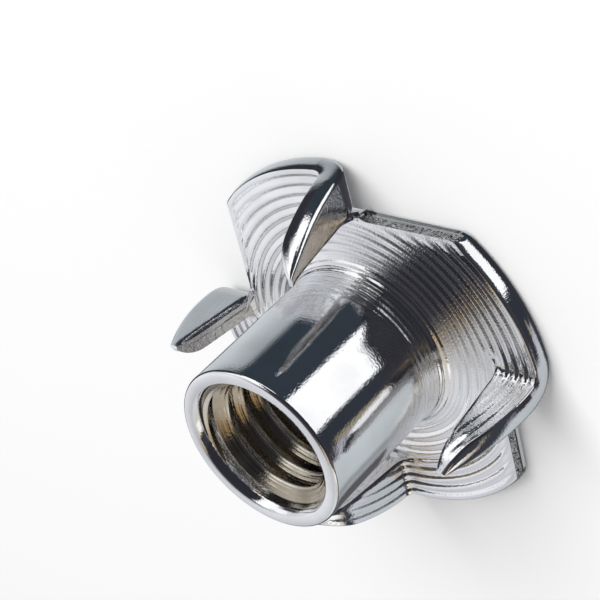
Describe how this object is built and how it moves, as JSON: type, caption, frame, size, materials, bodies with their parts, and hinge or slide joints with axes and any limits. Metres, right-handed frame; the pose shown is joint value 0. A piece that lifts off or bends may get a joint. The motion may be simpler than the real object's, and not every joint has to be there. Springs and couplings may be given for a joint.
{
  "type": "tee nut",
  "caption": "Pronged tee nut of plated sheet steel: a threaded barrel drawn from a rippled round flange, with claw prongs bent up from the rim to bite into wood.",
  "frame": {"origin": "middle of the flange's flat back face", "axes": "+Z along the barrel, from the flange to the mouth; one prong's bend lies across +X"},
  "size_m": [0.022, 0.022, 0.0112],
  "materials": {
    "plated_steel": "bright zinc plate, mirror-like"
  },
  "bodies": {
    "root": {"tee_nut": "plated_steel"}
  },
  "joints": []
}
